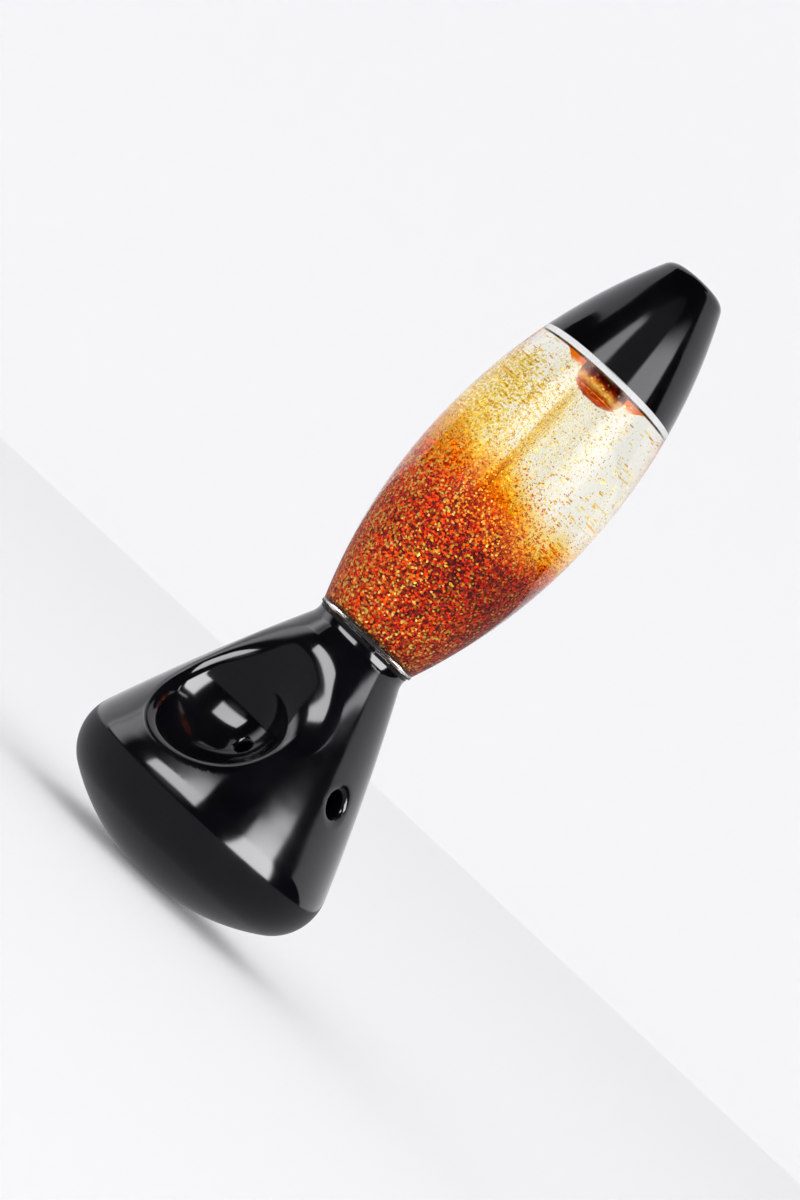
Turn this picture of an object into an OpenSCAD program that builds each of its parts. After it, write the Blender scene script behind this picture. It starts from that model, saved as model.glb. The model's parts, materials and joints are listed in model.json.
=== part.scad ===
// Hand pipe in the shape of a lava lamp: a black glass base with a pushed-in bowl,
// a clear chamber of liquid and glitter round a glass airway, and a black mouthpiece.
// Millimetres. The origin is the centre of the foot and +Z runs up the airway.
// The bowl faces -Y.

/* [Base] */
// Radius of the flat spot that the base stands on
foot_r = 5; // [4:0.5:6]
// Radius of the curved underside
underside_r = 36; // [35:0.5:38]
// Widest radius of the base
base_r = 23.75; // [23.5:0.05:24]
// Rounding between the underside and the flank
corner_r = 8.8; // [8:0.1:9]
// Radius of the flank's slight outward curve
flank_r = 360; // [340:10:400]
// How far up the flank faces where it leaves the rounding, in degrees
flank_lean = 20.8; // [20.4:0.1:21.2]
// Thickness of the black glass
base_wall = 3.2; // [2.8:0.1:3.4]

/* [Neck] */
// Height of the narrowest ring
neck_z = 49.3; // [49:0.1:49.6]
// Radius of the hollow curve round the neck
neck_curve_r = 3; // [2.5:0.1:3.2]
// Height at which the black glass ends
neck_seam_z = 50.15; // [50:0.05:50.3]
// Height of the clear ring that joins the base to the chamber
neck_ring_h = 0.75; // [0.6:0.05:0.9]
// Inner radius of the clear ring
neck_ring_bore_r = 7; // [6.6:0.1:7.1]
// Radius of the hole in the neck that the chamber's floor closes
neck_bore_r = 5.8; // [5.5:0.1:5.9]

/* [Bowl] */
// Height of the bowl's centre on the flank
bowl_z = 29.2; // [28.8:0.1:29.8]
// Radius of the pushed-in hollow
bowl_r = 11.2; // [11:0.1:11.6]
// Distance by which the hollow's centre stands out from the flank
bowl_out = 1.2; // [0.8:0.1:1.6]
// Thickness of the bowl's wall
bowl_wall = 2.8; // [2.4:0.1:3]
// Radius of the draw hole near the bottom of the bowl
draw_hole_r = 1.2; // [1:0.05:1.6]
// Turn of the draw hole from the bowl's axis, sideways, in degrees
draw_hole_turn = 14; // [12:1:18]

/* [Carb hole] */
// Turn from the bowl to the carb hole about the upright axis, in degrees
carb_turn = 85; // [80:1:100]
// Height of the carb hole on the flank
carb_z = 28.6; // [27:0.1:30]
// Radius of the carb hole
carb_r = 2.2; // [1.8:0.1:2.4]

/* [Chamber] */
// Widest outer radius of the chamber
belly_r = 15.55; // [15.4:0.05:15.7]
// Height of the widest part
belly_z = 83.8; // [83:0.1:84.6]
// Radius of the long curve above the widest part
shoulder_r = 96.5; // [94:0.5:99]
// Thickness of the clear wall
chamber_wall = 2.2; // [1.8:0.1:2.4]
// Height at which the clear glass ends and the mouthpiece begins
cap_seam_z = 106.05; // [105.9:0.05:106.3]
// Thickness of the clear disc that closes the chamber's top
cap_disc_h = 1.05; // [0.9:0.05:1.2]
// Radius of the sealed filling hole at the back
fill_r = 1.1; // [0.9:0.1:1.3]
// Height of the filling hole
fill_z = 98; // [96:0.5:99]

/* [Airway] */
// Outer radius of the tube through the chamber
tube_r = 4; // [3.8:0.05:4.1]
// Radius of the tube's bore
bore_r = 2.4; // [2.2:0.05:2.5]
// Thickness of the chamber's black floor, below its dome
floor_h = 2.5; // [2:0.1:2.8]
// Rise of the floor's dome at the axis
dome_h = 2.2; // [1.8:0.1:2.4]
// Outer radius of the flare that joins the tube to the top disc
flare_r = 6; // [5.6:0.1:6.4]
// Radius of the bore inside the flare
flare_bore_r = 3; // [2.8:0.05:3.2]
// Height of the flare
flare_h = 3.2; // [3:0.1:3.4]

/* [Mouthpiece] */
// Height of the whole pipe
height = 127; // [126:0.1:128]
// Rounding of the lip's outer edge
lip_round_r = 2.3; // [2.1:0.1:2.5]
// Thickness of the mouthpiece's wall
cap_wall = 2.6; // [2.2:0.1:2.8]
// Radius of the mouth bore
mouth_r = 2.2; // [2:0.1:2.4]
// Length of the straight mouth bore
mouth_h = 7; // [6:0.5:8]

/* [Filling] */
// Height of the liquid's surface
liquid_z = 104.6; // [104.2:0.1:104.8]
// Number of glitter flakes of each colour
flakes = 70; // [20:10:90]
// Radius of a six-sided flake
flake_r = 0.25; // [0.2:0.01:0.3]
// Thickness of a flake
flake_h = 0.08; // [0.06:0.01:0.1]

/* [Hidden] */
$fn = 96;

// Centres of the base's arcs, each tangent to the next
underside_c = [0, sqrt(pow(underside_r, 2) - pow(foot_r, 2))];
corner_c = [
    base_r - corner_r,
    underside_c[1] - sqrt(pow(underside_r - corner_r, 2) - pow(base_r - corner_r, 2))
];
flank_c = corner_c - (flank_r - corner_r) * [cos(flank_lean), sin(flank_lean)];
neck_c = [
    flank_c[0] + sqrt(pow(flank_r + neck_curve_r, 2) - pow(neck_z - flank_c[1], 2)),
    neck_z
];
underside_a = atan2(corner_c[1] - underside_c[1], corner_c[0]);
foot_a = atan2(-underside_c[1], foot_r);
neck_a = atan2(neck_c[1] - flank_c[1], neck_c[0] - flank_c[0]);
seam_a = asin((neck_seam_z - neck_z) / neck_curve_r);
ring_a = asin((neck_seam_z + neck_ring_h - neck_z) / neck_curve_r);

// The chamber's lower curve runs from the neck's hollow curve to the widest part
lower_d = neck_c[0] - belly_r;
lower_r = (pow(lower_d, 2) + pow(belly_z - neck_z, 2) - pow(neck_curve_r, 2))
    / (2 * (neck_curve_r - lower_d));
ring_top_z = neck_seam_z + neck_ring_h;
disc_z = cap_seam_z - cap_disc_h;
lip_c = [
    belly_r - shoulder_r + sqrt(pow(shoulder_r - lip_round_r, 2)
        - pow(height - lip_round_r - belly_z, 2)),
    height - lip_round_r
];
lip_a = atan2(lip_c[1] - belly_z, lip_c[0] - belly_r + shoulder_r);
dome_r = (pow(neck_bore_r, 2) + pow(dome_h, 2)) / (2 * dome_h);
flare_z = disc_z - flare_h;
fill_turn = 213;
golden_turn = 137.508;

function arc(c, r, from, to, steps) =
    [for (i = [0 : steps]) let (a = from + (to - from) * i / steps) c + r * [cos(a), sin(a)]];

// Radius of the flank at height z
function flank_at(z) = flank_c[0] + sqrt(pow(flank_r, 2) - pow(z - flank_c[1], 2));
// How far up the flank faces at height z
function flank_tilt(z) = asin((z - flank_c[1]) / flank_r);

// Radius of the chamber's or the mouthpiece's surface at height z, inset by t
function body_at(z, t = 0) =
    z < belly_z
        ? belly_r - lower_r + sqrt(pow(lower_r - t, 2) - pow(z - belly_z, 2))
        : belly_r - shoulder_r + sqrt(pow(shoulder_r - t, 2) - pow(z - belly_z, 2));
function body_line(from, to, steps, t = 0) =
    [for (i = [0 : steps]) let (z = from + (to - from) * i / steps) [body_at(z, t), z]];

// The base's outline from the foot to the neck's seam
function base_line() = concat(
    arc(underside_c, underside_r, foot_a, underside_a, 9),
    arc(corner_c, corner_r, underside_a, flank_lean, 10),
    arc(flank_c, flank_r, flank_lean, neck_a, 5),
    arc(neck_c, neck_curve_r, 180 + neck_a, 180 - seam_a, 6)
);

// The same outline inset by the wall, as far as the neck's bore
function cavity_line() = concat(
    arc(underside_c, underside_r - base_wall, -90, underside_a, 9),
    arc(corner_c, corner_r - base_wall, underside_a, flank_lean, 8),
    arc(flank_c, flank_r - base_wall, flank_lean, neck_a - 0.3, 5)
);

module revolve(line) {
    rotate_extrude() polygon(concat([[0, line[0][1]]], line, [[0, line[len(line) - 1][1]]]));
}

// Puts a child at height z on the flank, with its +Z along the flank's outward normal
module on_flank(turn, z) {
    rotate([0, 0, turn])
        translate([0, -flank_at(z), z])
            rotate([90 - flank_tilt(z), 0, 0])
                children();
}

// Puts children at the centre of the bowl's hollow, with Z pointing out of the bowl
module on_bowl() {
    on_flank(0, bowl_z) translate([0, 0, bowl_out]) children();
}

module bowl_ball(r) {
    on_bowl() sphere(r);
}

module base_solid() {
    revolve(base_line());
}

module base_shell() {
    color([0.05, 0.05, 0.06])
        difference() {
            union() {
                difference() {
                    base_solid();
                    revolve(cavity_line());
                }
                intersection() {
                    base_solid();
                    bowl_ball(bowl_r + bowl_wall);
                }
            }
            translate([0, 0, neck_z - 5]) cylinder(h = 10, r = neck_bore_r);
            bowl_ball(bowl_r);
            on_bowl()
                rotate([0, 180 - draw_hole_turn, 0])
                    cylinder(h = bowl_r + bowl_wall + 3, r = draw_hole_r);
            on_flank(carb_turn, carb_z)
                translate([0, 0, -base_wall * 2])
                    cylinder(h = base_wall * 3, r = carb_r);
        }
}

// Black disc that closes the neck, with a domed top round the tube
module chamber_floor() {
    color([0.05, 0.05, 0.06])
        difference() {
            union() {
                translate([0, 0, neck_seam_z - floor_h]) cylinder(h = floor_h, r = neck_bore_r);
                intersection() {
                    translate([0, 0, neck_seam_z + dome_h - dome_r]) sphere(dome_r);
                    translate([0, 0, neck_seam_z]) cylinder(h = dome_h, r = neck_bore_r);
                }
            }
            translate([0, 0, neck_seam_z - 5]) cylinder(h = 10, r = tube_r);
        }
}

module neck_ring() {
    color([0.9, 0.92, 0.95])
        difference() {
            revolve(arc(neck_c, neck_curve_r, 180 - seam_a, 180 - ring_a, 4));
            translate([0, 0, neck_seam_z - 1]) cylinder(h = neck_ring_h + 2, r = neck_ring_bore_r);
        }
}

module chamber_shell() {
    color([0.85, 0.9, 0.95, 0.4])
        difference() {
            revolve(body_line(ring_top_z, disc_z, 20));
            revolve(body_line(ring_top_z - 0.01, disc_z + 0.01, 20, chamber_wall));
            fill_hole(fill_r);
        }
}

// A pin through the chamber's wall at the filling hole
module fill_hole(r) {
    rotate([0, 0, fill_turn])
        translate([0, -body_at(fill_z) - 1, fill_z])
            rotate([-90, 0, 0])
                cylinder(h = chamber_wall + 2, r = r);
}

module airway_tube() {
    color([0.85, 0.9, 0.95, 0.4])
        translate([0, 0, neck_seam_z - floor_h])
            difference() {
                cylinder(h = flare_z - neck_seam_z + floor_h, r = tube_r);
                translate([0, 0, -1]) cylinder(h = height, r = bore_r);
            }
}

module flare_solid() {
    revolve([
        for (i = [0 : 8])
            let (s = i / 8) [tube_r + (flare_r - tube_r) * s * s, flare_z + flare_h * s]
    ]);
}

// Trumpet-shaped weld between the tube and the top disc; its bore widens to a rounded pocket
module tube_flare() {
    color([0.95, 0.55, 0.2, 0.6])
        difference() {
            flare_solid();
            translate([0, 0, flare_z - 1]) cylinder(h = flare_h + 2, r = bore_r);
            translate([0, 0, flare_z + flare_bore_r + 0.2]) {
                sphere(flare_bore_r);
                cylinder(h = flare_h, r = flare_bore_r);
            }
        }
}

// Clear disc that closes the chamber's top
module cap_disc() {
    color([0.9, 0.92, 0.95, 0.6])
        difference() {
            revolve(body_line(disc_z, cap_seam_z, 2));
            translate([0, 0, disc_z - 1]) cylinder(h = cap_disc_h + 2, r = flare_bore_r);
        }
}

module mouthpiece() {
    bore_z = height - mouth_h;
    cavity_top_z = bore_z - 2.5;
    color([0.05, 0.05, 0.06])
        difference() {
            revolve(concat(
                body_line(cap_seam_z, lip_c[1] + lip_round_r * sin(lip_a), 8),
                arc(lip_c, lip_round_r, lip_a, 90, 6)
            ));
            revolve(concat(
                body_line(cap_seam_z - 0.01, cavity_top_z, 5, cap_wall),
                [[mouth_r, bore_z]]
            ));
            translate([0, 0, cavity_top_z]) cylinder(h = height, r = mouth_r);
        }
}

// Melted-in plug of the filling hole, with a low nub outside
module fill_plug() {
    color([0.9, 0.92, 0.95, 0.8])
        union() {
            intersection() {
                fill_hole(fill_r);
                revolve(body_line(fill_z - 5, fill_z + 5, 4));
            }
            difference() {
                rotate([0, 0, fill_turn]) translate([0, -body_at(fill_z) + 0.9, fill_z]) sphere(1.9);
                revolve(body_line(fill_z - 5, fill_z + 5, 4));
            }
        }
}

module carrier_liquid() {
    color([1, 0.85, 0.6, 0.3])
        difference() {
            union() {
                translate([0, 0, neck_seam_z]) cylinder(h = neck_ring_h, r = neck_ring_bore_r);
                revolve(body_line(ring_top_z, liquid_z, 20, chamber_wall));
            }
            cylinder(h = height, r = tube_r);
            translate([0, 0, neck_seam_z + dome_h - dome_r]) sphere(dome_r);
            flare_solid();
            glitter(0);
            glitter(1);
        }
}

// One flake hangs at each step of a spiral, so that no two touch; the colours take turns
module glitter(first) {
    low_z = 54;
    step_z = (liquid_z - 4 - low_z) / (2 * flakes);
    for (i = [first : 2 : 2 * flakes - 1])
        let (
            z = low_z + step_z * i,
            free = body_at(z, chamber_wall) - tube_r - 4 * flake_r,
            r = tube_r + 2 * flake_r + free * (0.5 + 0.5 * sin(i * 77))
        )
            rotate([0, 0, golden_turn * i])
                translate([r, 0, z])
                    rotate([i * 53, i * 31, 0])
                        cylinder(h = flake_h, r = flake_r, center = true, $fn = 6);
}

module gold_glitter() {
    color([0.95, 0.75, 0.2]) glitter(0);
}

module copper_glitter() {
    color([0.8, 0.25, 0.08]) glitter(1);
}

base_shell();
chamber_floor();
neck_ring();
chamber_shell();
airway_tube();
tube_flare();
cap_disc();
mouthpiece();
fill_plug();
carrier_liquid();
gold_glitter();
copper_glitter();
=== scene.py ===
"""Looks for the lava-lamp-shaped glass hand pipe: black glass, clear glass, liquid and glitter."""

import json
import math

import bmesh
import bpy
import numpy as np
from mathutils import Matrix, Vector


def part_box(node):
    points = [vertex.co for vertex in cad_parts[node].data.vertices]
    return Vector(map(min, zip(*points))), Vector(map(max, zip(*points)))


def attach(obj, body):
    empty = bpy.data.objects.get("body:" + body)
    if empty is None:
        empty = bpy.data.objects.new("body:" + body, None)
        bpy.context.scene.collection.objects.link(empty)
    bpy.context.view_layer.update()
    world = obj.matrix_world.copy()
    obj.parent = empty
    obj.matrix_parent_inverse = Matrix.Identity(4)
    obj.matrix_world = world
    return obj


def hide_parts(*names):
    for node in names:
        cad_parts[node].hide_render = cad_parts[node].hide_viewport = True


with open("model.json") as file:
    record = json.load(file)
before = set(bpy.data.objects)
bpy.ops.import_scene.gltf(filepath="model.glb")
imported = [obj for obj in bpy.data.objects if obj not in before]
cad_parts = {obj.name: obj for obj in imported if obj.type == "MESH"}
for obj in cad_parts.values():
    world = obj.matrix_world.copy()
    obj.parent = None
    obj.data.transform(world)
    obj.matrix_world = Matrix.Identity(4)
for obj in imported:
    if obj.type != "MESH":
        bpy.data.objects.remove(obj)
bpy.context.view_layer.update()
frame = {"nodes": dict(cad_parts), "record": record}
MM = 0.001
record = frame["record"]
mounts = {m["name"]: m for m in record["mounts"]}


# ---------------------------------------------------------------- sizes, from the frame, in mm
def span(node):
    """Widest radius, lowest and highest z of a CAD node that goes round the axis."""
    low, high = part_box(node)
    return high.x / MM, low.z / MM, high.z / MM


base_r, _, neck_seam_z = span("base_shell")
_, chamber_z, disc_z = span("chamber_shell")
tube_r, tube_foot_z, flare_z = span("airway_tube")
floor_r, _, dome_z = span("chamber_floor")
liquid_z = span("carrier_liquid")[2]
cap_seam_z = span("cap_disc")[2]
height = span("mouthpiece")[2]
neck_r = span("neck_ring")[0]
mouth_r = mounts["mouth_bore"]["dims"]["r_mm"]
carb_r = mounts["carb_hole"]["dims"]["r_mm"]
draw_r = mounts["draw_hole"]["dims"]["r_mm"]


def at(name):
    """A mount's place in mm and its axis, as arrays."""
    m = mounts[name]
    return np.array(m["pos_m"]) / MM, np.array(m["axis"])


# ---------------------------------------------------------------- sizes that the frame doesn't give, in mm
# The black base: its outline's arcs, its wall and the rounding of its edges.
FOOT_R = 5.0
UNDERSIDE_R = 36.0
BASE_R = 23.75
CORNER_R = 8.8
FLANK_R = 360.0
FLANK_LEAN = math.radians(20.8)
NECK_Z = 49.3
NECK_CURVE_R = 3.0
BASE_WALL = 3.2
FOOT_ROUND = 0.4
HOLLOW_ROUND = 1.5
NECK_HOLE_DEPTH = 8
NECK_HOLE_ROUND = 1.0
INNER_ROUND = 0.3

# The bowl and the two holes. The lip's rounding grows up the flank, and LIP_TURN turns it, left and right.
BOWL_Z = 29.2
BOWL_R = 11.2
BOWL_WALL = 2.8
LIP_BELOW = 2.1
LIP_ABOVE = 7.5
LIP_FROM = -1
LIP_TO = 14
LIP_TURN = (0.4, 0.15)
DIMPLE_R = 5.0
DIMPLE_OUT = 4.2
DIMPLE_ROUND = 0.8
CARB_ROUND = 0.7
CARB_REACH = 6
DRAW_ROUND = 0.5
DRAW_REACH = 4

# The neck ring, chamber, tube, flare with its fumed drop, and mouthpiece.
RING_BORE_R = 7.0
RING_BULGE = 0.12
CHAMBER_WALL = 2.2
BELLY_R = 15.55
BELLY_Z = 83.8
SHOULDER_R = 96.5
BORE_R = 2.4
FLARE_CURVE = 2.2
FLARE_BORE_R = 3.0
FLARE_THROAT_R = 0.9
DROP_H = 2.4
DROP_Z = 1.3
DROP_SKIN = 0.25
CAP_WALL = 2.6
LIP_R = 2.3
MOUTH_ROUND = 0.8
MOUTH_H = 7.0
MOUTH_TAPER = 2.5

# The liquid's gap to the glass, its edges below and round the flare, and the flakes in it.
GAP = 0.01
LIQUID_FOOT = 0.2
LIQUID_EDGE = 1.5
FLAKE_GAP = 0.35
FLAKE_SIZE = (0.11, 0.23)
FLAKE_COUNT = 22000


# ---------------------------------------------------------------- the outline: tangent arcs
under_c = np.array([0, math.sqrt(UNDERSIDE_R**2 - FOOT_R**2)])
corner_x = BASE_R - CORNER_R
corner_c = np.array([corner_x, under_c[1] - math.sqrt((UNDERSIDE_R - CORNER_R) ** 2 - corner_x**2)])
flank_c = corner_c - (FLANK_R - CORNER_R) * np.array([math.cos(FLANK_LEAN), math.sin(FLANK_LEAN)])
neck_out = math.sqrt((FLANK_R + NECK_CURVE_R) ** 2 - (NECK_Z - flank_c[1]) ** 2)
neck_c = np.array([flank_c[0] + neck_out, NECK_Z])
neck_in = neck_c[0] - BELLY_R
lower_r = (neck_in**2 + (BELLY_Z - NECK_Z) ** 2 - NECK_CURVE_R**2) / (2 * (NECK_CURVE_R - neck_in))


def flank_at(z):
    return flank_c[0] + np.sqrt(FLANK_R**2 - (z - flank_c[1]) ** 2)


def body_at(z, inset=0.0):
    """Radius of the chamber's or the mouthpiece's surface at height z, a number or an array."""
    big = np.where(z < BELLY_Z, lower_r, SHOULDER_R)
    return BELLY_R - big + np.sqrt((big - inset) ** 2 - (z - BELLY_Z) ** 2)


def outline_distance(r, z):
    """Signed distance from the base's outline, which is four tangent arcs; negative inside."""
    under = np.hypot(r, z - under_c[1]) - UNDERSIDE_R
    corner = np.hypot(r - corner_c[0], z - corner_c[1]) - CORNER_R
    flank = np.hypot(r - flank_c[0], z - flank_c[1]) - FLANK_R
    neck = NECK_CURVE_R - np.hypot(r - neck_c[0], z - neck_c[1])
    under_a = math.atan2(corner_c[1] - under_c[1], corner_c[0])
    neck_a = math.atan2(neck_c[1] - flank_c[1], neck_c[0] - flank_c[0])
    past_corner = (np.arctan2(z - corner_c[1], r - corner_c[0]) > FLANK_LEAN) & (z > corner_c[1])
    out = np.where(np.arctan2(z - under_c[1], r) < under_a, under, corner)
    out = np.where(past_corner, flank, out)
    return np.where(np.arctan2(z - flank_c[1], r - flank_c[0]) > neck_a, neck, out)


def both(a, b, k):
    """Intersection of two solids' distances, its edge rounded by k, a number or an array."""
    corner = np.hypot(np.maximum(a + k, 0), np.maximum(b + k, 0)) - k
    return np.where((a > -k) & (b > -k), corner, np.maximum(a, b))


def either(a, b, k):
    return -both(-a, -b, k)


def along(p, place, axis):
    """Distance from a line and place along it."""
    d = p - place
    t = d @ axis
    return np.linalg.norm(d - t[:, None] * axis, axis=1), t


def smooth(x, low, high):
    t = np.clip((x - low) / (high - low), 0, 1)
    return t * t * (3 - 2 * t)


# The bowl: a ball-shaped hollow whose lip is tight below and rolls over softly above.
draw_p, draw_axis = at("draw_hole")
bowl_c = draw_p + draw_axis * (BOWL_R + BOWL_WALL / 2)
flank_point = np.array([0, -flank_at(BOWL_Z), BOWL_Z])
flank_n = np.array([0, flank_c[0] + flank_point[1], BOWL_Z - flank_c[1]]) / FLANK_R
flank_up = np.array([0, flank_n[2], -flank_n[1]])
carb_p, carb_axis = at("carb_hole")


def base_distance(p):
    """Signed distance, near enough, of the black base: outline, bowl, holes and hollow."""
    r, z = np.hypot(p[:, 0], p[:, 1]), p[:, 2]
    shell = outline_distance(r, z)
    dish = np.linalg.norm(p - bowl_c, axis=1) - BOWL_R
    hollow = both(shell + BASE_WALL, BOWL_WALL - dish, HOLLOW_ROUND)
    neck_hole = np.maximum(r - floor_r, NECK_Z - NECK_HOLE_DEPTH - z)
    hollow = either(hollow, neck_hole, NECK_HOLE_ROUND)
    solid = both(shell, -z, FOOT_ROUND)
    solid = np.maximum(solid, z - neck_seam_z)
    up_flank = (p - flank_point) @ flank_up + np.where(p[:, 0] < 0, *LIP_TURN) * p[:, 0]
    lip = LIP_BELOW + (LIP_ABOVE - LIP_BELOW) * smooth(up_flank, LIP_FROM, LIP_TO)
    solid = both(solid, -dish, lip)
    dimple = np.linalg.norm(p - (carb_p + carb_axis * (BASE_WALL / 2 + DIMPLE_OUT)), axis=1) - DIMPLE_R
    solid = both(solid, -dimple, DIMPLE_ROUND)
    far, t = along(p, carb_p, carb_axis)
    solid = both(solid, -np.maximum(far - carb_r, np.abs(t) - CARB_REACH), CARB_ROUND)
    far, t = along(p, draw_p, draw_axis)
    solid = both(solid, -np.maximum(far - draw_r, np.abs(t) - DRAW_REACH), DRAW_ROUND)
    return both(solid, -hollow, INNER_ROUND)


# ---------------------------------------------------------------- meshes
SHARP = math.radians(35)


def mesh_of_distance(name, distance, low, high, step):
    """Mesh of a distance's zero surface, one vertex in each crossed cell, and its exact normals."""
    low, high = np.array(low, float), np.array(high, float)
    n = np.ceil((high - low) / step).astype(int) + 1
    axes = [low[i] + step * np.arange(n[i]) for i in range(3)]
    grid = np.empty(n)
    for k, z in enumerate(axes[2]):
        x, y = np.meshgrid(axes[0], axes[1], indexing="ij")
        p = np.stack([x.ravel(), y.ravel(), np.full(x.size, z)], 1)
        grid[:, :, k] = distance(p).reshape(x.shape)
    inside = grid < 0
    cells = np.zeros(n - 1, np.int8)
    corners = [(i, j, k) for i in (0, 1) for j in (0, 1) for k in (0, 1)]
    for i, j, k in corners:
        cells += inside[i : n[0] - 1 + i, j : n[1] - 1 + j, k : n[2] - 1 + k]
    crossed = (cells > 0) & (cells < 8)
    index = -np.ones(n - 1, np.int64)
    where = np.argwhere(crossed)
    index[crossed] = np.arange(len(where))
    p = low + step * (where + 0.5)
    for _ in range(8):
        move = distance(p)[:, None] * gradient(distance, p)
        p = p - np.clip(move, -0.4 * step, 0.4 * step)
    faces = []
    for a in range(3):
        b, c = (a + 1) % 3, (a + 2) % 3
        first = np.take(inside, range(n[a] - 1), a)
        second = np.take(inside, range(1, n[a]), a)
        edge = np.argwhere(first != second)
        within = (edge[:, b] > 0) & (edge[:, c] > 0) & (edge[:, b] < n[b] - 1) & (edge[:, c] < n[c] - 1)
        edge = edge[within]
        out = first[tuple(edge.T)]
        ring = []
        for db, dc in ((0, 0), (1, 0), (1, 1), (0, 1)):
            cell = edge.copy()
            cell[:, b] -= db
            cell[:, c] -= dc
            ring.append(index[tuple(cell.T)])
        quad = np.stack(ring, 1)
        quad[~out] = quad[~out][:, ::-1]
        faces.append(quad)
    faces = np.concatenate(faces)
    faces = faces[(faces >= 0).all(1)]
    mesh = bpy.data.meshes.new(name)
    mesh.from_pydata((p * MM).tolist(), [], faces.tolist())
    mesh.polygons.foreach_set("use_smooth", np.ones(len(faces), bool))
    mesh.normals_split_custom_set_from_vertices(gradient(distance, p).tolist())
    return link(name, mesh)


def gradient(distance, p, h=0.01):
    g = np.empty_like(p)
    for a in range(3):
        d = np.zeros(3)
        d[a] = h
        g[:, a] = distance(p + d) - distance(p - d)
    return g / np.maximum(np.linalg.norm(g, axis=1, keepdims=True), 1e-9)


def link(name, mesh):
    ob = bpy.data.objects.new(name, mesh)
    bpy.context.scene.collection.objects.link(ob)
    return ob


def arc(c, r, start, end, steps):
    a = np.linspace(start, end, steps + 1)
    return [(c[0] + r * math.cos(t), c[1] + r * math.sin(t)) for t in a]


def lathe(name, line, slots=None, turns=128, closed=True):
    """Mesh of an outline in mm turned about the axis. slots gives a material number for each step."""
    verts, faces, kinds = [], [], []
    a = np.linspace(0, 2 * math.pi, turns, endpoint=False)
    for r, z in line:
        verts += [(r * math.cos(t) * MM, r * math.sin(t) * MM, z * MM) for t in a]
    rows = len(line)
    for i in range(rows if closed else rows - 1):
        j = (i + 1) % rows
        for k in range(turns):
            m = (k + 1) % turns
            faces.append((i * turns + k, i * turns + m, j * turns + m, j * turns + k))
            kinds.append(slots[i] if slots else 0)
    mesh = bpy.data.meshes.new(name)
    mesh.from_pydata(verts, [], faces)
    mesh.polygons.foreach_set("use_smooth", np.ones(len(faces), bool))
    mesh.polygons.foreach_set("material_index", kinds)
    bm = bmesh.new()
    bm.from_mesh(mesh)
    bmesh.ops.remove_doubles(bm, verts=bm.verts, dist=1e-7)
    bm.to_mesh(mesh)
    bm.free()
    mesh.set_sharp_from_angle(angle=SHARP)
    return link(name, mesh)


# ---------------------------------------------------------------- materials
BLACK_IOR = 1.52
CLEAR_IOR = 1.47

# Glitter: full below THICK_Z and gone by THIN_Z; it stands higher on the side opposite to LEAN, its x and y.
THICK_Z = 71.0
THIN_Z = 88.5
LEAN = (0.28, 0.18)
LEAN_LIMIT = 1.0
SWIRL = 16.0
GLITTER_METAL = 0.45
GLITTER_SHINE = 0.15
GLITTER_TILT = 0.65
FLAKE_TONES = [
    (0.0, (0.03, 0.002, 0.0003)), (0.95, (1.0, 0.72, 0.13)), (0.20, (0.14, 0.009, 0.0005)),
    (0.40, (0.34, 0.028, 0.001)), (0.60, (0.50, 0.10, 0.002)), (0.80, (0.74, 0.37, 0.008)),
]
FILTER_TONES = [(0.0, (0.68, 0.40, 0.03)), (0.7, (1.0, 0.9, 0.38))]
LIQUID_TINTS = [(0.0, (1.0, 0.998, 0.985)), (1.0, (0.95, 0.32, 0.02)), (0.30, (1.0, 0.86, 0.46))]
FUME_TONES = [
    (0.0, (0.85, 0.09, 0.003)), (1.0, (0.05, 0.006, 0.001)), (0.25, (1.0, 0.30, 0.02)),
    (0.45, (1.0, 0.72, 0.18)), (0.65, (0.75, 0.25, 0.01)), (0.80, (0.20, 0.02, 0.002)),
]


def new_material(name):
    mat = bpy.data.materials.new(name)
    mat.use_nodes = True
    nt = mat.node_tree
    nt.nodes.clear()
    out = nt.nodes.new("ShaderNodeOutputMaterial")
    return mat, nt, out


def node(nt, kind, **values):
    n = nt.nodes.new(kind)
    for key, value in values.items():
        if key in n.inputs:
            n.inputs[key].default_value = value
        else:
            setattr(n, key, value)
    return n


def wire(nt, value, socket):
    """Puts a number, a colour or another node's output into a socket."""
    if isinstance(value, bpy.types.NodeSocket):
        nt.links.new(value, socket)
    else:
        socket.default_value = value


def maths(nt, operation, *values):
    n = node(nt, "ShaderNodeMath", operation=operation)
    for value, socket in zip(values, n.inputs):
        wire(nt, value, socket)
    return n.outputs[0]


def fade(nt, value, low, high, start, end):
    """value's place between low and high, turned smoothly into start to end."""
    n = node(nt, "ShaderNodeMapRange", interpolation_type="SMOOTHSTEP")
    for key, v in zip(("Value", "From Min", "From Max", "To Min", "To Max"), (value, low, high, start, end)):
        wire(nt, v, n.inputs[key])
    return n.outputs["Result"]


def ramp(nt, value, stops):
    n = nt.nodes.new("ShaderNodeValToRGB")
    elements = n.color_ramp.elements
    for i, (place, colour) in enumerate(stops):
        e = elements[i] if i < 2 else elements.new(place)
        e.position, e.color = place, (*colour, 1)
    wire(nt, value, n.inputs[0])
    return n.outputs[0]


def millimetres(nt):
    """Object coordinates in mm, as a vector."""
    place = nt.nodes.new("ShaderNodeTexCoord")
    n = node(nt, "ShaderNodeVectorMath", operation="SCALE")
    n.inputs["Scale"].default_value = 1 / MM
    nt.links.new(place.outputs["Object"], n.inputs[0])
    return n.outputs[0]


def noise(nt, place, scale, detail=2.0):
    n = nt.nodes.new("ShaderNodeTexNoise")
    nt.links.new(place, n.inputs["Vector"])
    n.inputs["Scale"].default_value = scale
    n.inputs["Detail"].default_value = detail
    return n.outputs["Fac"]


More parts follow.
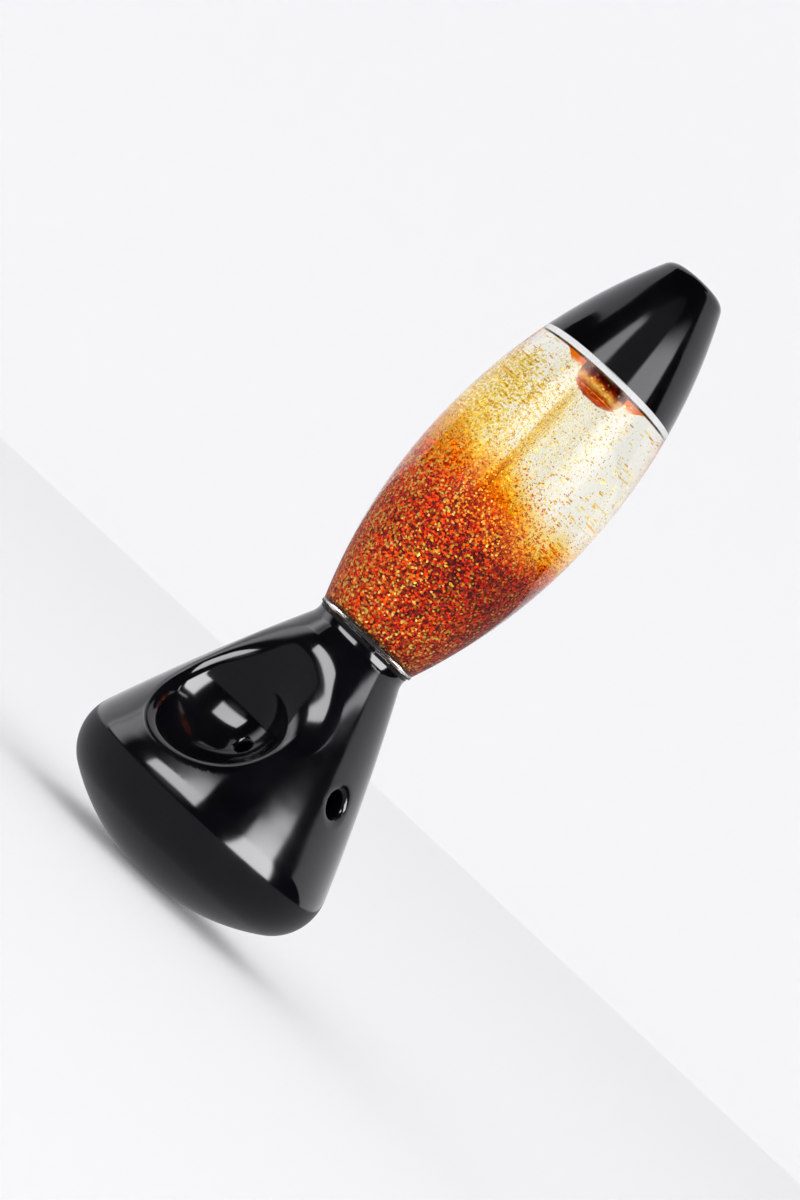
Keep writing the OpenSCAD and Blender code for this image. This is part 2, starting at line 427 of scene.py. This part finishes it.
def bump(nt, height, strength, distance):
    n = nt.nodes.new("ShaderNodeBump")
    n.inputs["Strength"].default_value = strength
    n.inputs["Distance"].default_value = distance * MM
    nt.links.new(height, n.inputs["Height"])
    return n.outputs[0]


def black_glass():
    """Blown black glass: almost no colour of its own, a polished skin with faint waves and smears."""
    mat, nt, out = new_material("black_glass")
    place = millimetres(nt)
    shader = nt.nodes.new("ShaderNodeBsdfPrincipled")
    smear = noise(nt, place, 0.09, 4)
    wire(nt, ramp(nt, smear, [(0.3, (0.0006, 0.0006, 0.0009)), (0.7, (0.0016, 0.0016, 0.0022))]),
         shader.inputs["Base Color"])
    wire(nt, fade(nt, smear, 0.3, 0.75, 0.07, 0.15), shader.inputs["Roughness"])
    wire(nt, bump(nt, noise(nt, place, 0.16, 1), 0.35, 0.08), shader.inputs["Normal"])
    shader.inputs["IOR"].default_value = BLACK_IOR
    nt.links.new(shader.outputs[0], out.inputs["Surface"])
    return mat


def clear_glass():
    """Clear glass with faint draw lines; lamps shine straight through it, so that what is inside is lit."""
    mat, nt, out = new_material("clear_glass")
    place = millimetres(nt)
    glass = nt.nodes.new("ShaderNodeBsdfGlass")
    glass.inputs["IOR"].default_value = CLEAR_IOR
    glass.inputs["Roughness"].default_value = 0.0
    tint = noise(nt, place, 0.05)
    wire(nt, ramp(nt, tint, [(0.3, (0.985, 0.995, 0.99)), (0.7, (1.0, 1.0, 1.0))]), glass.inputs["Color"])
    wire(nt, bump(nt, noise(nt, place, 0.12, 1), 0.25, 0.05), glass.inputs["Normal"])
    clear = nt.nodes.new("ShaderNodeBsdfTransparent")
    mix = nt.nodes.new("ShaderNodeMixShader")
    path = nt.nodes.new("ShaderNodeLightPath")
    nt.links.new(path.outputs["Is Shadow Ray"], mix.inputs[0])
    nt.links.new(glass.outputs[0], mix.inputs[1])
    nt.links.new(clear.outputs[0], mix.inputs[2])
    nt.links.new(mix.outputs[0], out.inputs["Surface"])
    return mat


def level_of(nt, place):
    """Height in mm, bent by slow swirls and by the glitter's lean to one side."""
    split = nt.nodes.new("ShaderNodeSeparateXYZ")
    nt.links.new(place, split.inputs[0])
    x, y, z = split.outputs
    lean = maths(nt, "ADD", maths(nt, "MULTIPLY", x, LEAN[0]), maths(nt, "MULTIPLY", y, LEAN[1]))
    lean = maths(nt, "MINIMUM", lean, LEAN_LIMIT)
    swirl = maths(nt, "MULTIPLY", maths(nt, "SUBTRACT", noise(nt, place, 0.13, 3), 0.5), SWIRL)
    return maths(nt, "ADD", maths(nt, "ADD", z, lean), swirl), z, lean, swirl


def glitter_skin(name, cell, cover, offset=0.0):
    """Index-matched boundary crowded with flakes: thick and red-gold below, thinning to clear above.

    The few flakes high up let the light through, as yellow specks. cell is a flake's size in mm, cover the
    share of cells filled where it is thickest, and offset moves every tone towards gold or dark."""
    mat, nt, out = new_material(name)
    place = millimetres(nt)
    level, z, lean, swirl = level_of(nt, place)
    # How crowded the flakes are: a thick crowd below, and a thin drift up the leaning side.
    crowd = maths(nt, "POWER", fade(nt, level, THICK_Z, THIN_Z, 1.0, 0.0), 1.6)
    drift = maths(nt, "ADD", fade(nt, lean, 0.5, -4.2, 0.0, 0.8), 0.15)
    drift = maths(nt, "MULTIPLY", drift, fade(nt, maths(nt, "ADD", z, swirl), 96.0, 106.0, 1.0, 0.1))
    floor_gap = fade(nt, z, dome_z, dome_z + 0.8, 0.0, 1.0)
    density = maths(nt, "MULTIPLY", maths(nt, "MAXIMUM", crowd, drift), floor_gap)
    # At most one flake to a cell, each with its own tone.
    cells = nt.nodes.new("ShaderNodeTexVoronoi")
    nt.links.new(place, cells.inputs["Vector"])
    cells.inputs["Scale"].default_value = 1 / cell
    chance = nt.nodes.new("ShaderNodeSeparateColor")
    nt.links.new(cells.outputs["Color"], chance.inputs[0])
    here = maths(nt, "LESS_THAN", chance.outputs[0], maths(nt, "MULTIPLY", density, cover))
    round_ = maths(nt, "LESS_THAN", cells.outputs["Distance"], fade(nt, density, 0.2, 1.0, 0.42, 0.72))
    flakes = maths(nt, "MULTIPLY", here, round_)
    # Painted light: low down and on the side opposite to LEAN, the flakes move up the ramp to brighter gold
    # where the crowd glows in the light. Higher up they also turn more golden.
    glow_and_gold = maths(nt, "ADD", fade(nt, maths(nt, "ADD", z, swirl), 70.0, 54.0, 0.0, 0.26),
                 maths(nt, "MULTIPLY", lean, -0.085))
    glow_and_gold = maths(nt, "ADD", glow_and_gold, fade(nt, level, 69.0, 84.0, 0.0, 0.6))
    tone = maths(nt, "ADD", maths(nt, "ADD", maths(nt, "MULTIPLY", chance.outputs[1], 1.0), glow_and_gold), offset)
    shader = nt.nodes.new("ShaderNodeBsdfPrincipled")
    wire(nt, ramp(nt, tone, FLAKE_TONES), shader.inputs["Base Color"])
    shader.inputs["Metallic"].default_value = GLITTER_METAL
    shader.inputs["Roughness"].default_value = 0.35
    shader.inputs["Specular IOR Level"].default_value = GLITTER_SHINE
    # Each flake is tilted its own way.
    tilt = node(nt, "ShaderNodeVectorMath", operation="SUBTRACT")
    nt.links.new(cells.outputs["Color"], tilt.inputs[0])
    tilt.inputs[1].default_value = (0.5, 0.5, 0.5)
    geometry = nt.nodes.new("ShaderNodeNewGeometry")
    gentle = node(nt, "ShaderNodeVectorMath", operation="SCALE")
    gentle.inputs["Scale"].default_value = GLITTER_TILT
    nt.links.new(tilt.outputs[0], gentle.inputs[0])
    turned = node(nt, "ShaderNodeVectorMath", operation="ADD")
    nt.links.new(geometry.outputs["Normal"], turned.inputs[0])
    nt.links.new(gentle.outputs[0], turned.inputs[1])
    unit = node(nt, "ShaderNodeVectorMath", operation="NORMALIZE")
    nt.links.new(turned.outputs[0], unit.inputs[0])
    nt.links.new(unit.outputs[0], shader.inputs["Normal"])
    # High up, flakes let the light through, and between them the liquid is stained where they crowd.
    filtered = nt.nodes.new("ShaderNodeBsdfTransparent")
    wire(nt, ramp(nt, chance.outputs[1], FILTER_TONES), filtered.inputs["Color"])
    thin = nt.nodes.new("ShaderNodeMixShader")
    wire(nt, fade(nt, level, 72.0, 90.0, 0.0, 0.85), thin.inputs[0])
    nt.links.new(shader.outputs[0], thin.inputs[1])
    nt.links.new(filtered.outputs[0], thin.inputs[2])
    clear = nt.nodes.new("ShaderNodeBsdfTransparent")
    stain = maths(nt, "MULTIPLY", maths(nt, "ADD", crowd, maths(nt, "MULTIPLY", drift, 0.04)), floor_gap)
    wire(nt, ramp(nt, stain, LIQUID_TINTS), clear.inputs["Color"])
    mix = nt.nodes.new("ShaderNodeMixShader")
    nt.links.new(flakes, mix.inputs[0])
    nt.links.new(clear.outputs[0], mix.inputs[1])
    nt.links.new(thin.outputs[0], mix.inputs[2])
    nt.links.new(mix.outputs[0], out.inputs["Surface"])
    return mat


def matched_skin(name):
    """A boundary between glass and liquid of the same index, which hardly shows."""
    mat, nt, out = new_material(name)
    clear = nt.nodes.new("ShaderNodeBsdfTransparent")
    tint = noise(nt, millimetres(nt), 0.1)
    wire(nt, ramp(nt, tint, [(0.3, (0.985, 0.98, 0.96)), (0.7, (1.0, 1.0, 1.0))]), clear.inputs["Color"])
    nt.links.new(clear.outputs[0], out.inputs["Surface"])
    return mat


def amber_skin(name):
    """The flare's outside, index-matched, and stained orange where it spreads under the disc."""
    mat, nt, out = new_material(name)
    split = nt.nodes.new("ShaderNodeSeparateXYZ")
    place = millimetres(nt)
    nt.links.new(place, split.inputs[0])
    stain = maths(nt, "ADD", fade(nt, split.outputs[2], flare_z + 1, disc_z, 0.0, 1.0), noise(nt, place, 0.8))
    clear = nt.nodes.new("ShaderNodeBsdfTransparent")
    wire(nt, ramp(nt, stain, [(0.6, (1.0, 0.97, 0.9)), (1.0, (0.95, 0.42, 0.08))]), clear.inputs["Color"])
    nt.links.new(clear.outputs[0], out.inputs["Surface"])
    return mat


def flake(name, dark, bright):
    """Hanging flakes, each with its own tone between dark and bright."""
    mat, nt, out = new_material(name)
    shader = nt.nodes.new("ShaderNodeBsdfPrincipled")
    info = node(nt, "ShaderNodeAttribute", attribute_name="tone")
    wire(nt, ramp(nt, info.outputs["Fac"], [(0.0, dark), (1.0, bright)]), shader.inputs["Base Color"])
    shader.inputs["Metallic"].default_value = GLITTER_METAL
    shader.inputs["Specular IOR Level"].default_value = GLITTER_SHINE
    wire(nt, fade(nt, info.outputs["Fac"], 0.0, 1.0, 0.45, 0.25), shader.inputs["Roughness"])
    nt.links.new(shader.outputs[0], out.inputs["Surface"])
    return mat


def fumed_glass(name):
    """The flare's drop: orange below, gold in its middle and dark above, in swirled bands."""
    mat, nt, out = new_material(name)
    place = millimetres(nt)
    split = nt.nodes.new("ShaderNodeSeparateXYZ")
    nt.links.new(place, split.inputs[0])
    band = fade(nt, split.outputs[2], flare_z - 1.2, disc_z, 0.0, 1.0)
    grain = maths(nt, "SUBTRACT", noise(nt, place, 1.3, 5), 0.5)
    shader = nt.nodes.new("ShaderNodeBsdfPrincipled")
    tone = maths(nt, "ADD", band, maths(nt, "MULTIPLY", grain, 0.9))
    wire(nt, ramp(nt, tone, FUME_TONES), shader.inputs["Base Color"])
    shader.inputs["Metallic"].default_value = 0.6
    shader.inputs["Roughness"].default_value = 0.25
    wire(nt, bump(nt, grain, 0.6, 0.3), shader.inputs["Normal"])
    nt.links.new(shader.outputs[0], out.inputs["Surface"])
    return mat


def stage_material(name, colour, strength=0.0):
    mat, nt, out = new_material(name)
    shader = node(nt, "ShaderNodeBsdfPrincipled")
    shader.inputs["Base Color"].default_value = (*colour, 1)
    shader.inputs["Roughness"].default_value = 0.7
    shader.inputs["Emission Color"].default_value = (*colour, 1)
    shader.inputs["Emission Strength"].default_value = strength
    nt.links.new(shader.outputs[0], out.inputs["Surface"])
    return mat


def flag_material(name, radiance):
    """A faint even glow for the sheets that darken the glass's reflections."""
    mat, nt, out = new_material(name)
    glow = nt.nodes.new("ShaderNodeEmission")
    glow.inputs["Color"].default_value = (0.95, 0.96, 1.0, 1)
    glow.inputs["Strength"].default_value = radiance
    nt.links.new(glow.outputs[0], out.inputs["Surface"])
    return mat


BLACK = black_glass()
CLEAR = clear_glass()
SKIN = matched_skin("matched_skin")
WALL_GLITTER = glitter_skin("wall_glitter", 0.36, 0.42, -0.07)
DRIFT_GLITTER = glitter_skin("drift_glitter", 0.33, 0.85, -0.06)
TUBE_GLITTER = glitter_skin("tube_glitter", 0.34, 0.6, -0.1)
FUMED = fumed_glass("fumed_glass")
AMBER = amber_skin("amber_skin")
GOLD = flake("gold_flake", (0.55, 0.15, 0.006), (1.0, 0.72, 0.2))
COPPER = flake("copper_flake", (0.12, 0.007, 0.001), (0.8, 0.2, 0.01))


def dress(ob, *mats):
    for m in mats:
        ob.data.materials.append(m)


# ---------------------------------------------------------------- pieces
BASE_STEP = 0.44


def make_base():
    edge = base_r + 0.5
    low, high = (-edge, -edge, -0.5), (edge, edge, neck_seam_z + 0.5)
    ob = mesh_of_distance("black_base", base_distance, low, high, BASE_STEP)
    dress(ob, BLACK)
    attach(ob, "root")
    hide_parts("base_shell")


def make_mouthpiece():
    lip_z = height - LIP_R
    lip_c = (BELLY_R - SHOULDER_R + math.sqrt((SHOULDER_R - LIP_R) ** 2 - (lip_z - BELLY_Z) ** 2), lip_z)
    lip_a = math.atan2(lip_z - BELLY_Z, lip_c[0] - BELLY_R + SHOULDER_R)
    top = lip_z + LIP_R * math.sin(lip_a)
    line = [(body_at(z), z) for z in np.linspace(cap_seam_z, top, 28)]
    line += arc(lip_c, LIP_R, lip_a, math.pi / 2, 12)[1:]
    line += arc((mouth_r + MOUTH_ROUND, height - MOUTH_ROUND), MOUTH_ROUND, math.pi / 2, math.pi, 6)
    line += [(mouth_r, height - MOUTH_H)]
    line += [(body_at(z, CAP_WALL), z) for z in np.linspace(height - MOUTH_H - MOUTH_TAPER, cap_seam_z, 12)]
    ob = lathe("black_mouthpiece", line)
    dress(ob, BLACK)
    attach(ob, "root")
    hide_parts("mouthpiece")


def make_chamber():
    outer = [(body_at(z), z) for z in np.linspace(chamber_z, disc_z, 60)]
    inner = [(body_at(z, CHAMBER_WALL), z) for z in np.linspace(disc_z, liquid_z, 3)]
    wet = [(body_at(z, CHAMBER_WALL), z) for z in np.linspace(liquid_z, chamber_z, 50)]
    line = outer + inner + wet[1:]
    slots = [0] * (len(outer) - 1) + [1] + [0] * (len(inner) - 1) + [1] * (len(wet) - 1) + [1]
    ob = lathe("clear_chamber", line, slots)
    dress(ob, CLEAR, WALL_GLITTER)
    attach(ob, "root")
    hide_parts("chamber_shell")


def drop(grow):
    """Outline of the fumed drop from its widest place down to its throat, grown outwards."""
    angles = np.linspace(0, math.acos(FLARE_THROAT_R / FLARE_BORE_R), 16)
    middle = flare_z + DROP_Z
    return [((FLARE_BORE_R + grow) * math.cos(t), middle - (DROP_H + grow) * math.sin(t)) for t in angles]


def make_tube():
    recess = [(r, z) for r, z in drop(DROP_SKIN + 0.02) if z < flare_z - 0.05]
    line = [(tube_r, tube_foot_z), (tube_r, flare_z), (recess[0][0], flare_z)] + recess
    line += [(BORE_R, recess[-1][1]), (BORE_R, tube_foot_z)]
    ob = lathe("clear_airway", line, [1] * (len(recess) + 2) + [0, 0, 1])
    dress(ob, CLEAR, TUBE_GLITTER)
    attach(ob, "root")
    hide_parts("airway_tube")


def make_liquid():
    heights = np.linspace(chamber_z + LIQUID_FOOT, liquid_z, 50)
    side = [(body_at(z, CHAMBER_WALL + GAP), z) for z in heights]
    line = [(tube_r + GAP, dome_z)] + side + [(tube_r + LIQUID_EDGE, liquid_z)]
    slots = [1] * len(side) + [0, 1]
    ob = lathe("clear_liquid", line, slots)
    dress(ob, CLEAR, DRIFT_GLITTER)
    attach(ob, "root")
    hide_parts("carrier_liquid")


def make_flare():
    """The trumpet that joins the tube to the top disc, with a fumed drop blown down into the bore."""
    top_r = span("tube_flare")[0]
    rise = np.linspace(0, 1, 14)
    outer = [(tube_r + (top_r - tube_r) * t**FLARE_CURVE, flare_z + (disc_z - flare_z) * t) for t in rise]
    bore = [(FLARE_BORE_R, disc_z)] + drop(0)
    under = [(r, z) for r, z in drop(DROP_SKIN)[::-1] if z < flare_z - 0.05]
    under.append((under[-1][0], flare_z))
    line = outer + bore + under
    slots = [1] * (len(outer) - 1) + [0] * (len(bore) + len(under)) + [1]
    ob = lathe("gold_flare", line, slots)
    dress(ob, FUMED, AMBER)
    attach(ob, "root")
    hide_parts("tube_flare")


def make_ring():
    """The clear ring in the neck, its outside a shallow bulge."""
    low, high = neck_seam_z, chamber_z
    line = [(neck_r - RING_BULGE * (2 * t - 1) ** 2, low + (high - low) * t) for t in np.linspace(0, 1, 9)]
    line += [(RING_BORE_R, high), (RING_BORE_R, low)]
    ob = lathe("clear_ring", line)
    dress(ob, CLEAR)
    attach(ob, "root")
    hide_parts("neck_ring")


def cloud(rng, n, rest):
    """Places in the liquid, and their levels: crowded low down and near the wall, thinning to rest above."""
    z = rng.uniform(dome_z + 0.4, liquid_z - 0.5, n)
    a = rng.uniform(0, 2 * math.pi, n)
    low, high = tube_r + 0.4, body_at(z, CHAMBER_WALL + FLAKE_GAP)
    r = low + (high - low) * rng.beta(2.2, 1.0, n)
    x, y = r * np.cos(a), r * np.sin(a)
    swirl = 3.5 * np.sin(0.31 * x + 0.17 * z) + 3.0 * np.sin(0.27 * y - 0.23 * z + 1.0)
    level = z + np.minimum(LEAN[0] * x + LEAN[1] * y, LEAN_LIMIT) + swirl
    density = (1 - smooth(level, THICK_Z, THIN_Z)) ** 2 + rest
    keep = (r < high) & (rng.uniform(0, 1, n) < density)
    return np.stack([x, y, z, level], 1)[keep]


def make_flakes(name, cad, mat, count, seed, rest):
    """Six-sided flakes hanging in the liquid, each turned its own way."""
    rng = np.random.default_rng(seed)
    p = np.empty((0, 4))
    while len(p) < count:
        p = np.concatenate([p, cloud(rng, count, rest)])
    p, level = p[:count, :3], p[:count, 3]
    size = rng.uniform(*FLAKE_SIZE, count)
    axis = rng.normal(size=(count, 3))
    axis /= np.linalg.norm(axis, axis=1, keepdims=True)
    side = np.cross(axis, rng.normal(size=(count, 3)))
    side /= np.linalg.norm(side, axis=1, keepdims=True)
    other = np.cross(axis, side)
    a = np.arange(6) * math.pi / 3
    ring = side[:, None] * np.cos(a)[None, :, None] + other[:, None] * np.sin(a)[None, :, None]
    verts = (p[:, None] + ring * size[:, None, None]).reshape(-1, 3) * MM
    faces = np.arange(count * 6).reshape(-1, 6)
    mesh = bpy.data.meshes.new(name)
    mesh.from_pydata(verts.tolist(), [], faces.tolist())
    tone = mesh.attributes.new("tone", "FLOAT", "FACE")
    tones = rng.uniform(0, 0.8, count) + 0.5 * smooth(level, 66, 84)
    tone.data.foreach_set("value", np.clip(tones, 0, 1))
    ob = link(name, mesh)
    dress(ob, mat)
    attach(ob, "root")
    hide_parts(cad)


def keep_cad(name, mat):
    for s in frame["nodes"][name].material_slots:
        s.material = mat


make_base()
make_mouthpiece()
make_chamber()
make_tube()
make_liquid()
make_flare()
make_ring()
make_flakes("gold_flakes", "gold_glitter", GOLD, FLAKE_COUNT, 3, 0.02)
make_flakes("copper_flakes", "copper_glitter", COPPER, FLAKE_COUNT, 4, 0.0)
keep_cad("chamber_floor", BLACK)
keep_cad("cap_disc", CLEAR)
keep_cad("fill_plug", SKIN)


# ---------------------------------------------------------------- stage, light and camera
CAMERA_AZIMUTH = 33


def make_stage():
    """A round pale room: floor, curved corner and wall, so that every view has the same backdrop."""
    room_r, corner, tall = 2.4, 0.5, 2.6
    line = [(0.0001, 0)] + [(r, 0) for r in (0.5, 1.2)]
    line += arc((room_r - corner, corner), corner, -math.pi / 2, 0, 11)
    line += [(room_r, tall)]
    floor = lathe("stage_floor", [(r / MM, z / MM) for r, z in line], closed=False)
    dress(floor, stage_material("stage_paper", (0.84, 0.84, 0.85), 0.17))


def side_on(azimuth):
    """The level direction at an azimuth in degrees from the camera's side, and the one to its right."""
    a = math.radians(CAMERA_AZIMUTH + azimuth)
    return Vector((math.sin(a), -math.cos(a), 0)), Vector((math.cos(a), math.sin(a), 0))


def make_flag(name, rows, edges, colour):
    """A sheet that only mirror reflections see. edges gives each row's points: radius, z, start and end."""
    turns = 64
    verts, faces = [], []
    for i in range(rows + 1):
        radius, z, start, end = edges(i / rows)
        for k in range(turns + 1):
            out = side_on(start + (end - start) * k / turns)[0] * radius
            verts.append((out.x, out.y, z))
    for i in range(rows):
        for k in range(turns):
            p = i * (turns + 1) + k
            faces.append((p, p + 1, p + turns + 2, p + turns + 1))
    mesh = bpy.data.meshes.new(name)
    mesh.from_pydata(verts, [], faces)
    ob = link(name, mesh)
    dress(ob, flag_material(name, colour))
    ob.visible_camera = ob.visible_diffuse = ob.visible_transmission = ob.visible_shadow = False


FLAG_FAR = 1.9
FLAG_TOP = 70
FLAG_NEAR = 0.0055
FLAG_FOOT = 0.001
FLAG_FLOOR = 0.0004


def front_flag(t):
    """Dark in front, with uneven side edges, so that the sides and back stay pale."""
    e = FLAG_TOP * t
    r = math.radians(e)
    start = -113 + 33 * float(smooth(e, 28, 36)) - 34 * float(smooth(e, 39, 47))
    return FLAG_FAR * math.cos(r), FLAG_FAR * math.sin(r) + FLAG_FOOT, start, 120 - 0.9 * e


def top_flag(t):
    r = math.radians(FLAG_TOP + (90 - FLAG_TOP) * t)
    return FLAG_FAR * math.cos(r), FLAG_FAR * math.sin(r), -180, 180


def floor_flag(t):
    return FLAG_NEAR + (FLAG_FAR - FLAG_NEAR) * t**3, FLAG_FLOOR, -180, 180


SOFT = (0.08, 0.08, 0.08)


def soft_panel(name, azimuth, across, up, radiance, lit=(), distance=1, soft=SOFT, slant=(0, 0)):
    """An upright area light; across and up are its edges in metres as the pipe sees it.

    soft gives how much of its width, bottom and top fades out; slant leans the two sides inwards."""
    out, right = side_on(azimuth)
    data = bpy.data.lights.new(name, "AREA")
    data.shape = "RECTANGLE"
    data.size, data.size_y = across[1] - across[0], up[1] - up[0]
    data.energy = radiance * data.size * data.size_y * math.pi
    data.color = (0.97, 0.97, 1.0)
    data.use_nodes = True
    nt = data.node_tree
    nt.nodes.clear()
    split = nt.nodes.new("ShaderNodeSeparateXYZ")
    nt.links.new(nt.nodes.new("ShaderNodeNewGeometry").outputs["Parametric"], split.inputs[0])
    x, y = split.outputs[0], split.outputs[1]
    left = maths(nt, "SUBTRACT", x, maths(nt, "MULTIPLY", y, slant[0]))
    far = maths(nt, "ADD", x, maths(nt, "MULTIPLY", y, slant[1]))
    glow = fade(nt, left, 0.0, soft[0], 0.0, 1.0)
    glow = maths(nt, "MULTIPLY", glow, fade(nt, far, 1.0, 1 - soft[0], 0.0, 1.0))
    glow = maths(nt, "MULTIPLY", glow, fade(nt, y, 0.0, soft[1], 0.0, 1.0))
    glow = maths(nt, "MULTIPLY", glow, fade(nt, y, 1.0, 1 - soft[2], 0.0, 1.0))
    light = nt.nodes.new("ShaderNodeEmission")
    nt.links.new(glow, light.inputs["Strength"])
    nt.links.new(light.outputs[0], nt.nodes.new("ShaderNodeOutputLight").inputs[0])
    ob = bpy.data.objects.new(name, data)
    middle = right * (across[0] + across[1]) / 2 + Vector((0, 0, (up[0] + up[1]) / 2))
    ob.location = out * distance + middle
    ob.rotation_mode = "QUATERNION"
    ob.rotation_quaternion = out.to_track_quat("Z", "Y")
    ob.visible_camera = False
    bpy.context.scene.collection.objects.link(ob)
    if lit:
        group = bpy.data.collections.new(name + "_lights")
        for piece in lit:
            group.objects.link(bpy.data.objects[piece])
        ob.light_linking.receiver_collection = group


def make_world(strength):
    world = bpy.data.worlds.new("studio")
    world.use_nodes = True
    world.node_tree.nodes["Background"].inputs[0].default_value = (1, 1, 1, 1)
    world.node_tree.nodes["Background"].inputs[1].default_value = strength
    bpy.context.scene.world = world


def make_camera():
    azimuth, roll = math.radians(CAMERA_AZIMUTH), math.radians(43)
    distance, eye_z, aim_z, aim_right = 0.523, 0.044, 0.0585, -0.0003
    right = Vector((math.cos(azimuth), math.sin(azimuth), 0))
    back = Vector((math.sin(azimuth), -math.cos(azimuth), 0))
    data = bpy.data.cameras.new("camera")
    data.lens, data.sensor_width = 100, 36
    ob = bpy.data.objects.new("camera", data)
    ob.location = back * distance + Vector((0, 0, eye_z))
    target = Vector((0, 0, aim_z)) + right * aim_right
    look = (ob.location - target).to_track_quat("Z", "Y")
    ob.rotation_mode = "QUATERNION"
    ob.rotation_quaternion = look @ Matrix.Rotation(roll, 3, "Z").to_quaternion()
    bpy.context.scene.collection.objects.link(ob)
    bpy.context.scene.camera = ob
    data.clip_end = 20


make_stage()
make_world(0.95)
make_flag("flag_front", 14, front_flag, 0.012)
make_flag("flag_top", 4, top_flag, 0.012)
make_flag("flag_floor", 12, floor_flag, 0.3)
BASE, CAP, CHAMBER, RING = ["black_base"], ["black_mouthpiece"], ["clear_chamber"], ["clear_ring"]
GLITTER = ["clear_liquid", "gold_flakes", "copper_flakes"]
# name, azimuth, across, up, radiance, pieces lit (all if none is named), distance, soft edges, slant
PANELS = [
    ("base_right", 42, (-0.33, 0.64), (0.035, 0.79), 14, BASE, 1, (0.1, 0.02, 0.12), (0.25, 0)),
    ("base_left", -8, (-1.3, 0.02), (0.22, 0.84), 10, BASE, 1, (0.05, 0.2, 0.08)),
    ("base_side", -104, (-0.3, 0.4), (0.035, 0.84), 2.4, BASE, 1, (0.4, 0.02, 0.2)),
    ("base_streak", 52, (-0.08, 0.62), (0.95, 1.08), 5, BASE, 1, (0.2, 0.3, 0.3)),
    ("cap_right", 42, (-0.33, 0.62), (0.035, 1.3), 4.3, CAP, 1, (0.1, 0.02, 0.3), (0, 0.2)),
    ("cap_left", -22, (-0.66, 0.24), (0.035, 1.18), 4.2, CAP, 1, (0.12, 0.02, 0.1), (0.36, 0.3)),
    ("cap_haze", 0, (-0.9, 0.9), (0.035, 1.8), 0.2, CAP, 1, (0.3, 0.02, 0.3)),
    ("chamber_right", 45, (-0.14, 0.15), (0.001, 0.36), 4, CHAMBER, 0.35, (0.35, 0.9, 0.1)),
    ("chamber_left", -40, (-0.11, 0.11), (0.001, 0.36), 4, CHAMBER, 0.35, (0.35, 0.9, 0.1)),
    ("glitter_right", 45, (-0.14, 0.15), (0.001, 0.36), 12, GLITTER, 0.35, (0.35, 0.5, 0.1)),
    ("glitter_left", -40, (-0.11, 0.11), (0.001, 0.36), 12, GLITTER, 0.35, (0.35, 0.5, 0.1)),
    ("ring_right", 90, (-0.35, 0.4), (0.001, 0.8), 14, RING),
    ("ring_left", -90, (-0.4, 0.35), (0.001, 0.8), 14, RING),
    ("fill_right", 42, (-0.33, 0.74), (0.001, 0.87), 1.7, [], 1, (0.35, 0.6, 0.2)),
    ("fill_left", -8, (-1.1, 0.02), (0.001, 0.8), 1.7, [], 1, (0.35, 0.6, 0.2)),
]
for panel in PANELS:
    soft_panel(*panel)
make_camera()

bpy.context.scene.view_settings.view_transform = "Standard"
bpy.context.scene.cycles.transparent_max_bounces = 24


def corners(box):
    return [list(box[0]), list(box[1])]
